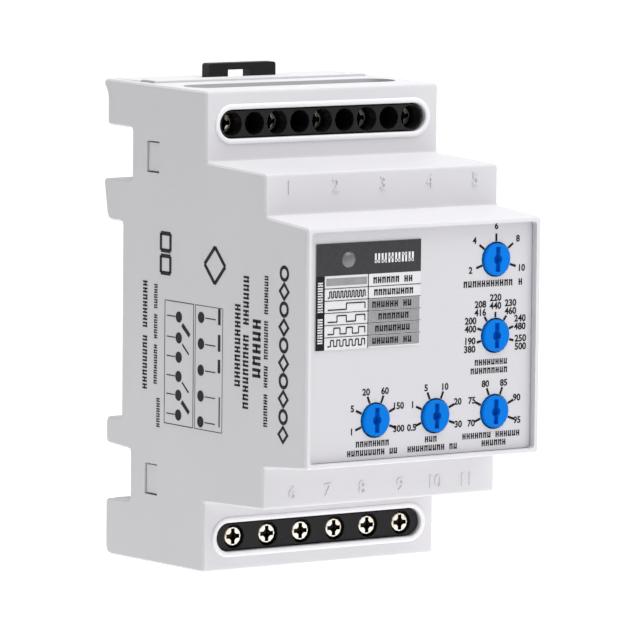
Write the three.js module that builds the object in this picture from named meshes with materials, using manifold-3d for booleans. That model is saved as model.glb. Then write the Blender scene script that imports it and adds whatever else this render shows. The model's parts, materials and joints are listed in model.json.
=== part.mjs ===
// A three-module voltage monitor relay for a 35 mm top-hat rail, as an assembly of separate pieces.
// Millimetres, +Z up. The origin is the middle of the rail seat: +Y points back to the rail, -Y is the
// front with the dials, and X runs along the rail. "Depth" always means the distance in front of the seat.
import * as THREE from "three";
import { mergeVertices } from "three/addons/utils/BufferGeometryUtils.js";
import Module from "manifold-3d";

const wasm = await Module();
wasm.setup();

// ---------------------------------------------------------------- driving dimensions
const modulePitch = 17.5;
const width = 3 * modulePitch;
const height = 90;
const frontDepth = 61; // front rim of the dial face
const terminalDepth = 28; // front of the two terminal faces
const wall = 2;
const cornerRadius = 0.7; // of the moulded corners in side view
const edgeBevel = 0.35; // of the two side faces' edges
const fitGap = 0.15; // between pieces that slide into each other
const glueGap = 0.04; // under a label

const seamDepth = 7.5; // where the cover's top and bottom meet the base
const baseProud = 0.3; // the base's rim beyond the cover
const coverDraft = 0.4; // lost from the half height by the terminal face
const shoulderDepth = frontDepth - 13.7;
const shelfHeight = height / 2 - 13.5; // of the shelf behind the shoulder, from the middle
const shelfDrop = 0.8;
const shoulderHeight = 23; // of the shelf behind the dial face
const shoulderDrop = 1.1;

const railWidth = 35;
const railThickness = 1;
const railClearance = 1; // beyond each edge of the rail
const backDepth = 5.2; // how far the back stands behind the seat
const recessHalfHeight = railWidth / 2 + railClearance;
const notchDepth = 8.3; // of the side notches, from the back
const upperNotch = [26.4, height / 2 - 8.7];
const lowerNotch = [11 - height / 2, -24.2];
const notchBlockHalfWidth = 13; // solid middle of the lower notch
const hookLip = 1.3; // how far a hook reaches over the rail's edge
const hookPlace = 15.5;
const hookHalfWidth = 3.5;

const clipWidth = 15.2;
const clipThickness = 2.5;
const clipFront = -1.1; // Y of its front face
const clipTop = height / 2 + 2.7;
const clipLug = 2; // how much of each edge the guides hold
const clipFoot = 0.3; // below the recess's upper edge
const toolSlot = { width: 5, height: 4.9, below: 1.3, offset: -0.8 };
const springRadius = 1.75; // of the wire's centre line
const springWire = 0.5;
const springTurns = 5;
const springLength = 9.5;
const springFoot = height / 2 - 18.5;
const springStopHeight = 1.8;

const slotLength = width - 5.9; // the long openings over the terminals
const slotHeight = 5.4;
const slotCentre = height / 2 - 6.6; // height of the terminal screws, up and down
const wireSlotHeight = 8;
const wireSlotDepth = 17;

const faceRecess = 1.6;
const faceWall = 2.2;
const faceRimSide = 1;
const faceRimTop = 0.8;
const labelThickness = 0.25;
const labelGap = 0.12; // around the label
const plateThickness = 0.15;
const plateBox = { left: 2.65 - width / 2, right: -0.3, bottom: -0.5, top: 18.9 };
const lensRadius = 1.45;

const knobRadius = 3;
const knobStand = 0.65; // proud of the label
const knobHead = 2.6;
const knobClearance = 0.3;
const neckRadius = 1.7;
const knobColumn = width / 2 - 9.35; // X of the right-hand column
const knobColumnPitch = 13.45;
const knobRow = 0.25; // Z of the middle row
const knobRowPitch = 14.1;
const trimmerSide = 9.4;
const trimmerHeight = 4.8;

const rowWidth = width - 6.78;
const poleCount = { upper: 5, lower: 6 };
const polePitch = { upper: rowWidth / 4.5, lower: rowWidth / 6 };
const headRecess = { upper: 1.15, lower: -1.35 }; // behind the terminal block's shoulder
const cageRecess = 2.8; // of a closed clamp cage, behind that shoulder
const blockInset = 0.15; // behind the cover's wall
const noseInset = 0.45; // of the block's front end behind the terminal face
const noseGap = 0.3; // round that end, in the long slot
const screwRoom = 0.3; // round a screw's head, in its well
const spareWellDepth = 6;
const blockHalfWidth = width / 2 - 3.45;
const blockTop = 3.9; // above the screw axis
const blockBottom = 5.8; // below it
const cellWall = 1.7;
const headRadius = 2;
const headThickness = 1.5;
const crossWidth = 0.8;
const crossDepth = 0.8;
const crossPit = { radius: 0.85, depth: 1.1 };
const shankRadius = 1.45;
const wellRadius = headRadius + screwRoom;
const cellHalfWidth = (polePitch.lower - cellWall) / 2;
const cageHalfWidth = cellHalfWidth - fitGap;
const cageSideWall = 0.65;
const cageNut = 1.5; // the threaded wall
const cageSole = 1; // the wall that presses on the wire
const cageHeight = 5.8;
const cageTravel = 3;
const wireGap = 4; // between contact and sole, when open
const contactThickness = 0.8;
const contactHalfWidth = cageHalfWidth - cageSideWall - 0.45;
const pinHalfWidth = 0.5;
const pinTail = 1.3; // of a terminal's pin behind the board

const boardThickness = 1.6;
const boardHalfWidth = width / 2 - 3.65;
const mainBoardFront = 9; // depth
const mainBoardHalfHeight = height / 2 - 4.4;
const controlBoardFront = frontDepth - 9.6; // depth
const controlBoardHalfHeight = 18.4;
const standoffPlace = [17, 15];

const windowDepth = [8.2, 12.4]; // of the latch windows
const windowHeight = 5.9;
const tongueThickness = 1.1;
const lipLength = 1.4;
const lipWall = 1.2;

// ---------------------------------------------------------------- solids
const half = width / 2;
const round = { small: 8, coarse: 12, fine: 20 }; // sides of a round shape

function solidOf(geometry) {
  const source = geometry.index ? geometry.toNonIndexed() : geometry;
  const bare = new THREE.BufferGeometry();
  bare.setAttribute("position", source.getAttribute("position"));
  const merged = mergeVertices(bare, 1e-4);
  const mesh = new wasm.Mesh({
    numProp: 3,
    vertProperties: merged.attributes.position.array,
    triVerts: new Uint32Array(merged.index.array),
  });
  return new wasm.Manifold(mesh);
}

function geometryOf(made) {
  const mesh = made.getMesh();
  const geometry = new THREE.BufferGeometry();
  geometry.setAttribute("position", new THREE.BufferAttribute(mesh.vertProperties, 3));
  geometry.setIndex(new THREE.BufferAttribute(mesh.triVerts, 1));
  return geometry;
}

const join = (...solids) => solids.reduce((all, next) => all.add(next));
const cut = (from, ...tools) => tools.reduce((left, tool) => left.subtract(tool), from);

// A box between two corners.
function box([x0, x1], [y0, y1], [z0, z1]) {
  const geometry = new THREE.BoxGeometry(Math.abs(x1 - x0), Math.abs(y1 - y0), Math.abs(z1 - z0));
  geometry.translate((x0 + x1) / 2, (y0 + y1) / 2, (z0 + z1) / 2);
  return solidOf(geometry);
}

// A cylinder along Y.
function drum(x, z, radius, [y0, y1], sides = round.fine) {
  const geometry = new THREE.CylinderGeometry(radius, radius, Math.abs(y1 - y0), sides);
  geometry.translate(x, (y0 + y1) / 2, z);
  return solidOf(geometry);
}

// A closed outline whose corners are rounded by the radius given, or by a corner's own third number.
function outline(corners, radius) {
  const shape = new THREE.Shape();
  corners.forEach(([u, v, own], i) => {
    const here = new THREE.Vector2(u, v);
    const before = new THREE.Vector2(...corners.at(i - 1));
    const after = new THREE.Vector2(...corners[(i + 1) % corners.length]);
    const limit = Math.min(here.distanceTo(before), here.distanceTo(after)) / 2;
    const reach = Math.min(own ?? radius, 0.9 * limit);
    const start = here.clone().add(before.sub(here).setLength(reach));
    const end = here.clone().add(after.sub(here).setLength(reach));
    if (i === 0) shape.moveTo(start.x, start.y);
    else shape.lineTo(start.x, start.y);
    if (reach > 0) shape.quadraticCurveTo(u, v, end.x, end.y);
  });
  shape.closePath();
  return shape;
}

// A (Y, Z) outline carried along X, its two end edges rounded by the bevel.
function barAlongX(shape, [x0, x1], bevel = 0) {
  const geometry = new THREE.ExtrudeGeometry(shape, {
    depth: x1 - x0 - 2 * bevel,
    bevelEnabled: bevel > 0,
    bevelThickness: bevel,
    bevelSize: bevel,
    bevelOffset: -bevel,
    bevelSegments: 1,
    curveSegments: 2,
  });
  geometry.applyMatrix4(new THREE.Matrix4().set(0, 0, 1, x0 + bevel, 1, 0, 0, 0, 0, 1, 0, 0, 0, 0, 0, 1));
  return solidOf(geometry);
}

// An (X, Z) outline carried along Y.
function plateAlongY(shape, [y0, y1], curveSegments = 8) {
  const geometry = new THREE.ExtrudeGeometry(shape, { depth: y1 - y0, bevelEnabled: false, curveSegments });
  geometry.applyMatrix4(new THREE.Matrix4().set(1, 0, 0, 0, 0, 0, -1, y1, 0, 1, 0, 0, 0, 0, 0, 1));
  return solidOf(geometry);
}

// An (X, Y) outline carried up Z.
function plateAlongZ(shape, [z0, z1], curveSegments = 8) {
  const geometry = new THREE.ExtrudeGeometry(shape, { depth: z1 - z0, bevelEnabled: false, curveSegments });
  geometry.translate(0, 0, z0);
  return solidOf(geometry);
}

// A slot with round ends, long in the first direction.
function stadium(length, height, u = 0, v = 0) {
  const reach = (length - height) / 2;
  const shape = new THREE.Shape();
  shape.absarc(u + reach, v, height / 2, -Math.PI / 2, Math.PI / 2);
  shape.absarc(u - reach, v, height / 2, Math.PI / 2, (3 * Math.PI) / 2);
  shape.closePath();
  return shape;
}

const rectangle = (left, right, bottom, top, radius = 0) =>
  outline([[left, bottom], [right, bottom], [right, top], [left, top]], radius);

// ---------------------------------------------------------------- finishes
const finish = (color, roughness, metalness = 0) =>
  new THREE.MeshStandardMaterial({ color, roughness, metalness });
const finishes = {
  housing: finish(0xd6d5d9, 0.55),
  black: finish(0x17171a, 0.5),
  blue: finish(0x0a6fe0, 0.35),
  label: finish(0xd9d8dc, 0.45),
  plate: finish(0x8d8d92, 0.4),
  lens: finish(0x9a9aa0, 0.2),
  nickel: finish(0xc9c2b4, 0.3, 1),
  steel: finish(0xb8bcc2, 0.35, 1),
  brass: finish(0xc2a15a, 0.35, 1),
  board: finish(0x1f5a38, 0.6),
  trimmer: finish(0x2b3f6b, 0.5),
  relay: finish(0x222226, 0.4),
  capacitor: finish(0x1b2a4a, 0.35),
  film: finish(0xb03a26, 0.5),
};

const device = new THREE.Group();

function piece(name, geometry, material, parent = device) {
  const mesh = new THREE.Mesh(geometry, material);
  mesh.name = name;
  parent.add(mesh);
  return mesh;
}

// ---------------------------------------------------------------- knob and lens places
const knobs = {
  unbalance: [knobColumn, knobRow + knobRowPitch],
  line_voltage: [knobColumn, knobRow],
  undervoltage: [knobColumn, knobRow - knobRowPitch],
  trip_delay: [knobColumn - knobColumnPitch, knobRow - knobRowPitch],
  restart_delay: [knobColumn - 2 * knobColumnPitch, knobRow - knobRowPitch],
};
const faceFloor = -(frontDepth - faceRecess); // Y of the recessed dial face
const labelFront = faceFloor - glueGap - labelThickness;
const faceHalfWidth = half - faceRimSide;
const faceHalfHeight = shoulderHeight - shoulderDrop - faceRimTop;
const windows = [upperNotch, lowerNotch].map(([low, high]) => (low + high) / 2);
const lensPlace = { x: plateBox.left + 7.1, z: plateBox.top - 3.1 };

// ---------------------------------------------------------------- front housing
// The side view's front half, from the middle upwards, drawn in by a wall's thickness for the inside.
function frontSteps(inset, face) {
  const rise = height / 2 - inset;
  return [
    [-terminalDepth + inset, rise - coverDraft],
    [-terminalDepth + inset, shelfHeight - inset],
    [-shoulderDepth + inset, shelfHeight - shelfDrop - inset],
    [-shoulderDepth + inset, shoulderHeight - inset],
    [-frontDepth + face, shoulderHeight - shoulderDrop - inset],
  ];
}
const mirrored = (points) => points.map(([y, z]) => [y, -z]).reverse();

// The back of the side view, from the bottom upwards: lower notch, rail recess, hook, upper notch.
const notchFloor = backDepth - notchDepth;
const backSteps = [
  [backDepth, lowerNotch[0] - 0.4],
  [notchFloor, lowerNotch[0]],
  [notchFloor, lowerNotch[1]],
  [backDepth, lowerNotch[1] + 0.4, 0.9],
  [backDepth, -recessHalfHeight - 0.2, 1.1],
  [0, -recessHalfHeight - 0.2],
  [0, recessHalfHeight],
  [backDepth, recessHalfHeight - 0.1, 1.4],
  [backDepth + 1.4, upperNotch[0] - 0.2],
  [notchFloor, upperNotch[0]],
  [notchFloor, upperNotch[1]],
  [backDepth + 0.1, upperNotch[1] + 0.1],
  [backDepth + 0.1, height / 2 - 2.9],
  [backDepth + 1.5, height / 2 - 0.9],
];

function sideProfile() {
  const corners = [
    ...mirrored(frontSteps(0, 0)),
    [backDepth, -height / 2, 1.6],
    ...backSteps,
    [backDepth + 1.1, height / 2],
    ...frontSteps(0, 0),
  ];
  return outline(corners, cornerRadius);
}

function frontHousing() {
  const block = barAlongX(sideProfile(), [-half, half], edgeBevel);
  const inside = half - wall;
  const cavityRear = [-seamDepth + 1, height / 2 - wall];
  const cavitySteps = frontSteps(wall, faceRecess + faceWall);
  const cavityCorners = [...mirrored([cavityRear, ...cavitySteps]), cavityRear, ...cavitySteps];
  const cavity = barAlongX(outline(cavityCorners, 0.3), [-inside, inside]);
  const behindSeam = box([-inside, inside], [-seamDepth, backDepth + 3], [-height, height]);
  const screwSlots = [slotCentre, -slotCentre].map((z) =>
    plateAlongY(stadium(slotLength, slotHeight, 0, z), [-terminalDepth - 1, -terminalDepth + wall + 1]));
  const wireSlot = stadium(slotLength, wireSlotHeight, 0, -wireSlotDepth);
  const wireSlots = [height / 2 - wall - 1, -height / 2 - 1].map((z) =>
    plateAlongZ(wireSlot, [z, z + wall + 2]));
  const recess = plateAlongY(
    rectangle(-faceHalfWidth, faceHalfWidth, -faceHalfHeight, faceHalfHeight, 0.8),
    [-frontDepth - 1, faceFloor], 3);
  const pierce = [faceFloor - 1, faceFloor + faceWall + 1];
  const knobHoles = Object.values(knobs).map(([x, z]) => drum(x, z, knobRadius + knobClearance, pierce));
  const lensHole = drum(lensPlace.x, lensPlace.z, lensRadius + fitGap, pierce, round.coarse);
  const latchWindows = [-1, 1].flatMap((side) => windows.map((z) =>
    box([side * (inside - 1), side * (half + 1)],
      [-windowDepth[1], -windowDepth[0]], [z - windowHeight / 2, z + windowHeight / 2])));
  return cut(block, behindSeam, cavity, ...screwSlots, ...wireSlots, recess,
    ...knobHoles, lensHole, ...latchWindows);
}
piece("front_housing", geometryOf(frontHousing()), finishes.housing);

// ---------------------------------------------------------------- rear base
const channelHalfWidth = clipWidth / 2 + fitGap;
const guideHalfWidth = channelHalfWidth + 3.2;
const channelY = [clipFront - fitGap, clipFront + clipThickness + fitGap];
const springAxisY = clipFront + clipThickness / 2;
const springRoom = springRadius + springWire + 0.15;
const springTop = springFoot + springLength + 0.1;
const hookY = railThickness + 0.3;

function rearBase() {
  const sideX = half - wall - fitGap;
  const frontY = -seamDepth + 0.1;
  const shell = barAlongX(outline([
    [frontY, height / 2 + baseProud],
    [frontY, -height / 2 - baseProud],
    [-3, -height / 2 - baseProud],
    [-2.6, -height / 2],
    [backDepth, -height / 2, 1.6],
    ...backSteps,
    [backDepth + 1.1, height / 2],
    [-2.6, height / 2],
    [-3, height / 2 + baseProud],
  ], 0.2), [-sideX, sideX]);
  const middleTop = box([-guideHalfWidth, guideHalfWidth], [notchFloor - 1, backDepth],
    [recessHalfHeight, height / 2 - 1]);
  const middleBottom = box([-notchBlockHalfWidth, notchBlockHalfWidth], [notchFloor - 1, backDepth - 0.3],
    [lowerNotch[0] - 1, lowerNotch[1] + 1]);

  // hollows that keep the walls even
  const innerX = sideX - wall;
  const boardHollow = box([-innerX, innerX], [frontY - 1, notchFloor - wall],
    [wall - height / 2, height / 2 - wall]);
  const seatHollow = box([-innerX, innerX], [frontY - 1, -wall],
    [-recessHalfHeight - 3, recessHalfHeight - 1]);
  const lowHollow = box([-innerX, innerX], [frontY - 1, backDepth - wall],
    [wall - height / 2, lowerNotch[0] - wall]);
  const highHollows = [-1, 1].map((side) =>
    box([side * guideHalfWidth, side * innerX], [frontY - 1, backDepth - wall],
      [upperNotch[1] + wall, height / 2 - wall]));

  // the rail hooks
  const edge = -railWidth / 2;
  const hookShape = outline([
    [hookY, -recessHalfHeight - 0.8],
    [backDepth - 0.3, -recessHalfHeight - 0.8],
    [backDepth - 1.2, edge + hookLip - 0.9, 0.2],
    [backDepth - 2, edge + hookLip, 0.2],
    [hookY, edge + hookLip, 0.2],
  ], 0);
  const hooks = [-1, 1].map((side) =>
    barAlongX(hookShape, [side * hookPlace - hookHalfWidth, side * hookPlace + hookHalfWidth]));

  // the clip's guide, open at the back between its two lugs, with room for the spring
  const guide = box([-channelHalfWidth, channelHalfWidth], channelY,
    [recessHalfHeight - 1, height / 2 + 1]);
  const mouthHalf = channelHalfWidth - clipLug;
  const guideMouth = box([-mouthHalf, mouthHalf],
    [channelY[1] - 1, backDepth + 2], [recessHalfHeight - 1, height / 2 + 1]);
  const springPocket = box([-springRoom, springRoom],
    [springAxisY - springRoom, channelY[0] + 1], [springFoot - 0.6, springTop]);
  const springStop = box([-1.5, 1.5], [channelY[0] - 1, clipFront + clipThickness - 0.2],
    [springTop, springTop + springStopHeight]);

  // the lips and the latch tongues that go inside the cover
  const lipZ = height / 2 - coverDraft - wall - fitGap;
  const lips = [-1, 1].map((side) =>
    box([-sideX + 1, sideX - 1], [-seamDepth - lipLength, frontY + 0.6],
      [side * (lipZ - lipWall), side * lipZ]));
  const latches = [-1, 1].flatMap((side) => windows.map((z) => {
    const reach = windowHeight / 2 - 0.3;
    const tongue = box([side * (sideX - tongueThickness), side * sideX],
      [-windowDepth[1] - 0.6, frontY + 1], [z - reach, z + reach]);
    const tooth = box([side * (sideX - 0.2), side * (half - 0.3)],
      [-windowDepth[1] + 0.3, -windowDepth[0] - 0.3], [z - reach, z + reach]);
    return join(tongue, tooth);
  }));
  const boardBack = boardThickness - mainBoardFront;
  const standoffs = [-1, 1].flatMap((sideOfX) => [-1, 1].map((sideOfZ) =>
    drum(sideOfX * standoffPlace[0], sideOfZ * standoffPlace[1], 2.2,
      [boardBack + 0.1, 0.5 - wall], round.coarse)));

  const body = cut(join(shell, middleTop, middleBottom), boardHollow, seatHollow, lowHollow, ...highHollows,
    guide, guideMouth, springPocket);
  return join(body, springStop, ...lips, ...hooks, ...latches, ...standoffs);
}
piece("rear_base", geometryOf(rearBase()), finishes.housing);

// ---------------------------------------------------------------- rail clip and its spring
function railClip() {
  const halfClip = clipWidth / 2;
  const y = [clipFront, clipFront + clipThickness];
  const foot = recessHalfHeight - clipFoot;
  const plate = plateAlongY(rectangle(-halfClip, halfClip, foot, clipTop, 0.6), y, 3);
  const slotTop = clipTop - toolSlot.below;
  const slotSides = [-toolSlot.width / 2, toolSlot.width / 2].map((x) => x + toolSlot.offset);
  const slot = box(slotSides, [y[0] - 1, y[1] + 1],
    [slotTop - toolSlot.height, slotTop]);
  const tip = railWidth / 2 - hookLip - 0.3;
  const noseShape = outline([
    [hookY, tip, 0.2],
    [hookY + 0.8, tip, 0.2],
    [backDepth - 0.8, foot + 1.2, 0.2],
    [backDepth - 0.8, foot + 5.5, 0.4],
    [hookY - 0.5, foot + 5.5],
    [hookY - 0.5, foot + 0.4],
    [hookY, foot + 0.2],
  ], 0);
  const noseHalf = halfClip - clipLug - 0.4;
  const nose = barAlongX(noseShape, [-noseHalf, noseHalf]);
  const springWindow = box([-springRoom, springRoom], [y[0] - 1, y[1] + 1],
    [springFoot - 0.1, springTop + springStopHeight + 0.2]);
  return cut(join(plate, nose), slot, springWindow);
}
piece("rail_clip", geometryOf(railClip()), finishes.black);

class Helix extends THREE.Curve {
  getPoint(t, target = new THREE.Vector3()) {
    const angle = 2 * Math.PI * springTurns * t;
    const rise = springWire / 2 + (springLength - springWire) * t;
    return target.set(springRadius * Math.cos(angle), springRadius * Math.sin(angle), rise);
  }
}
const wireSection = new THREE.Shape();
wireSection.absarc(0, 0, springWire / 2, 0, 2 * Math.PI);
const springShape = solidOf(new THREE.ExtrudeGeometry(wireSection, {
  steps: springTurns * 8,
  curveSegments: 3,
  extrudePath: new Helix(),
}));
piece("clip_spring", geometryOf(springShape), finishes.steel).position.set(0, springAxisY, springFoot);

// ---------------------------------------------------------------- dial face: labels, lens, light
function frontLabel() {
  const x = faceHalfWidth - labelGap;
  const z = faceHalfHeight - labelGap;
  const sheet = plateAlongY(rectangle(-x, x, -z, z, 0.6), [labelFront, faceFloor - glueGap], 3);
  const pierce = [labelFront - 1, faceFloor + 1];
  const holes = Object.values(knobs).map(([x, z]) => drum(x, z, knobRadius + knobClearance, pierce));
  return cut(sheet, ...holes, drum(lensPlace.x, lensPlace.z, lensRadius + fitGap, pierce, round.coarse));
}
piece("front_label", geometryOf(frontLabel()), finishes.label);

function statusPlate() {
  const y = [labelFront - glueGap - plateThickness, labelFront - glueGap];
  const { left, right, bottom, top } = plateBox;
  const lensHole = drum(lensPlace.x, lensPlace.z, lensRadius + fitGap, [y[0] - 1, y[1] + 1], round.coarse);
  return cut(plateAlongY(rectangle(left, right, bottom, top, 0.4), y, 3), lensHole);
}
piece("status_plate", geometryOf(statusPlate()), finishes.plate);

// A turned shape about its own Y axis: points are (radius, y), from the front to the back.
function turned(points, sides = round.fine) {
  const profile = points.map(([radius, y]) => new THREE.Vector2(radius, y));
  const geometry = new THREE.LatheGeometry(profile, sides);
  return solidOf(geometry);
}

const lensFront = labelFront - glueGap - plateThickness - 0.35;
const ledHeight = 1.6;
const lensShape = turned([
  [0, lensFront], [lensRadius * 0.6, lensFront + 0.08], [lensRadius, lensFront + 0.4],
  [lensRadius, -controlBoardFront - ledHeight - 0.4], [0, -controlBoardFront - ledHeight - 0.4],
], round.coarse);
piece("status_lens", geometryOf(lensShape), finishes.lens).position.set(lensPlace.x, 0, lensPlace.z);
const ledShape = join(
  box([-1.6, 1.6], [-controlBoardFront - 0.7, -controlBoardFront - fitGap], [-0.9, 0.9]),
  box([-1.1, 1.1], [-controlBoardFront - ledHeight, -controlBoardFront - 0.6], [-0.75, 0.75]));
piece("status_led", geometryOf(ledShape), finishes.label).position.set(lensPlace.x, 0, lensPlace.z);

// ---------------------------------------------------------------- dials
// A knob about its own axis, its face at y = 0, with a screwdriver slot and a deeper pit in the middle.
function knobGeometry() {
  const neckEnd = frontDepth - faceRecess + glueGap + labelThickness + knobStand
    - controlBoardFront - 1.6;
  const body = turned([
    [0, 0], [knobRadius - 0.25, 0], [knobRadius, 0.25], [knobRadius, knobHead],
    [neckRadius, knobHead], [neckRadius, neckEnd], [0, neckEnd],
  ]);
  const slot = box([-0.5, 0.5], [-1, 0.95], [-0.77 * knobRadius, 0.77 * knobRadius]);
  return geometryOf(cut(body, slot, drum(0, 0, 0.95, [-1, 1.5], round.coarse)));
}

function trimmerGeometry() {
  const side = trimmerSide / 2;
  const corner = 1.4;
  const body = plateAlongY(rectangle(-side, side, -side, side, corner), [-trimmerHeight, 0], 2);
  return geometryOf(cut(body, drum(0, 0, neckRadius + 0.2, [-trimmerHeight - 1, -1])));
}

const knobShape = knobGeometry();
const trimmerShape = trimmerGeometry();
for (const [name, [x, z]] of Object.entries(knobs)) {
  piece(`${name}_knob`, knobShape, finishes.blue).position.set(x, labelFront - knobStand, z);
  piece(`${name}_trimmer`, trimmerShape, finishes.trimmer).position.set(x, -controlBoardFront - 0.1, z);
}

// ---------------------------------------------------------------- terminals
// One row, in its own frame: y = 0 is the block's face, z = 0 the screw axis, +z the way the wires come in.
const rowFront = -(terminalDepth - wall - blockInset);
const blockDepth = -rowFront - mainBoardFront - fitGap;

function rowPlan(row) {
  const head = headRecess[row];
  const nutOpen = cageRecess + cageTravel;
  const contact = nutOpen + cageNut + 0.2;
  const cageEnd = contact + contactThickness + wireGap + cageSole;
  const places = Array.from({ length: poleCount[row] }, (_, i) =>
    (i - (poleCount[row] - 1) / 2) * polePitch[row]);
  return { head, nutOpen, contact, cageEnd, places };
}

function terminalBlock(row) {
  const { cageEnd, places } = rowPlan(row);
  const noseFront = -blockInset - wall + noseInset;
  const nose = plateAlongY(
    stadium(slotLength - 2 * noseGap, slotHeight - 2 * noseGap), [noseFront, 0.5]);
  const body = join(nose,
    box([-blockHalfWidth, blockHalfWidth], [0, blockDepth], [-blockBottom, blockTop]));
  const cells = places.map((x) => join(
    drum(x, 0, wellRadius, [noseFront - 1, cageRecess], round.coarse),
    box([x - cellHalfWidth, x + cellHalfWidth],
      [cageRecess - 0.1, cageEnd + 0.3], [-blockBottom + 0.9, blockTop + 1]),
    box([x - pinHalfWidth - 0.2, x + pinHalfWidth + 0.2],
      [cageEnd, blockDepth + 1], [-blockBottom + 0.95, -blockBottom + 2.25])));
  const spare = row === "upper" ? places.slice(1).map((x) => x - polePitch.upper / 2) : [];
  const spareWells = spare.map((x) =>
    drum(x, 0, wellRadius - 0.1, [noseFront - 1, spareWellDepth], round.coarse));
  return geometryOf(cut(body, ...cells, ...spareWells));
}

// The captive screw, its head's face at y = 0, with a crossed recess. Its tip stands just past the open nut.
function screwGeometry(nutDistance) {
  const shankEnd = nutDistance + cageNut + 0.1;
  const body = turned([
    [0, 0], [headRadius - 0.3, 0], [headRadius, 0.3], [headRadius, headThickness],
    [shankRadius, headThickness], [shankRadius, shankEnd - 0.3],
    [shankRadius - 0.3, shankEnd], [0, shankEnd],
  ], round.coarse);
  const reach = headRadius - 0.55;
  const arms = [
    box([-reach, reach], [-1, crossDepth], [-crossWidth / 2, crossWidth / 2]),
    box([-crossWidth / 2, crossWidth / 2], [-1, crossDepth], [-reach, reach]),
  ];
  const pit = drum(0, 0, crossPit.radius, [-1, crossPit.depth], round.coarse);
  return geometryOf(cut(body, ...arms, pit));
}

// The clamp cage: y = 0 is the nut wall's front.
function cageGeometry() {
  const length = cageNut + 0.2 + contactThickness + wireGap + cageSole;
  const body = box([-cageHalfWidth, cageHalfWidth], [0, length], [-cageHeight / 2, cageHeight / 2]);
  const mouth = box([-cageHalfWidth + cageSideWall, cageHalfWidth - cageSideWall],
    [cageNut, length - cageSole], [-cageHeight, cageHeight]);
  return geometryOf(cut(body, mouth, drum(0, 0, shankRadius + fitGap, [-1, cageNut + 1], round.coarse)));
}

// The fixed contact and its board pin: y = 0 is the bar's front.
function contactGeometry(contactY) {
  const foot = -blockBottom + 1.2;
  const pinEnd = blockDepth + fitGap + boardThickness + pinTail - contactY;
  return geometryOf(join(
    box([-contactHalfWidth, contactHalfWidth], [0, contactThickness], [foot, cageHeight / 2 - 0.2]),
    box([-pinHalfWidth, pinHalfWidth], [0, pinEnd], [foot, foot + contactThickness])));
}

function terminalRow(row) {
  const { head, nutOpen, contact, places } = rowPlan(row);
  const group = new THREE.Group();
  const turn = row === "upper" ? 0 : Math.PI;
  group.rotation.y = turn;
  group.position.set(0, rowFront, row === "upper" ? slotCentre : -slotCentre);
  device.add(group);
  piece(`${row}_terminal_block`, terminalBlock(row), finishes.black, group);
  const screw = screwGeometry(nutOpen - head);
  const cage = cageGeometry();
  const bar = contactGeometry(contact);
  const fromLeft = turn ? [...places].reverse() : places;
  fromLeft.forEach((x, i) => {
    piece(`${row}_screw_${i + 1}`, screw, finishes.nickel, group).position.set(x, head, 0);
    piece(`${row}_cage_${i + 1}`, cage, finishes.steel, group).position.set(x, nutOpen, 0);
    piece(`${row}_contact_${i + 1}`, bar, finishes.brass, group).position.set(x, contact, 0);
  });
}
terminalRow("upper");
terminalRow("lower");

// ---------------------------------------------------------------- boards and what they carry
function mainBoard() {
  const y = [-mainBoardFront, -mainBoardFront + boardThickness];
  const sheet = box([-boardHalfWidth, boardHalfWidth], y, [-mainBoardHalfHeight, mainBoardHalfHeight]);
  const pinHeight = slotCentre - blockBottom + 1.2 + contactThickness / 2;
  const holes = ["upper", "lower"].flatMap((row) => rowPlan(row).places.map((x) =>
    drum(x, row === "upper" ? pinHeight : -pinHeight, 0.85, [y[0] - 1, y[1] + 1], round.small)));
  return cut(sheet, ...holes);
}
piece("main_board", geometryOf(mainBoard()), finishes.board);

const controlBoardY = [-controlBoardFront, -controlBoardFront + boardThickness];
piece("control_board",
  geometryOf(box([-boardHalfWidth, boardHalfWidth], controlBoardY,
    [-controlBoardHalfHeight, controlBoardHalfHeight])), finishes.board);
const riserX = -0.84 * boardHalfWidth;
piece("riser_board",
  geometryOf(box([riserX - boardThickness, riserX],
    [controlBoardY[1] + fitGap, -mainBoardFront - fitGap], [-16, 16])), finishes.board);

const onBoard = -mainBoardFront - fitGap; // Y of the feet of what stands on the main board
const across = (share) => share * boardHalfWidth; // places shared out over the board's width
piece("output_relay",
  geometryOf(plateAlongY(rectangle(across(-0.09), across(0.62), -14.5, 14.5, 0.8),
    [onBoard - 25, onBoard], 2)), finishes.relay);
const canRadius = across(0.22);
piece("smoothing_capacitor", geometryOf(turned([
  [0, onBoard - 20], [canRadius - 0.5, onBoard - 20], [canRadius, onBoard - 19.4],
  [canRadius, onBoard], [0, onBoard],
])), finishes.capacitor).position.set(across(-0.44), 0, 9);
piece("film_capacitor",
  geometryOf(plateAlongY(rectangle(across(-0.64), across(-0.27), -13, 1.5, 0.6),
    [onBoard - 14, onBoard], 2)), finishes.film);
const disc = turned([[0, -2], [4.2, -2], [5, -1.2], [5, 1.2], [4.2, 2], [0, 2]]).rotate([0, 0, 90]);
const leads = [-2.5, 2.5].map((z) =>
  box([-0.4, 0.4], [onBoard - 4, onBoard], [z - 0.4, z + 0.4]));
piece("surge_varistor", geometryOf(join(disc.translate([0, onBoard - 6.2, 0]), ...leads)),
  finishes.blue).position.set(across(0.82), 0, 0);

export default device;
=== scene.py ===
# %% [markdown]
# # A rail-mounted phase monitor relay
# The CAD frame brings every solid in its place. This lesson gives the solids their moulded edges, their
# finishes and their print, then sets up a plain studio. Positions come from the solids' own boxes, so
# the print lands where the parts are.

import json
import math

import bmesh
import bpy
import numpy as np
from mathutils import Matrix, Vector


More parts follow.
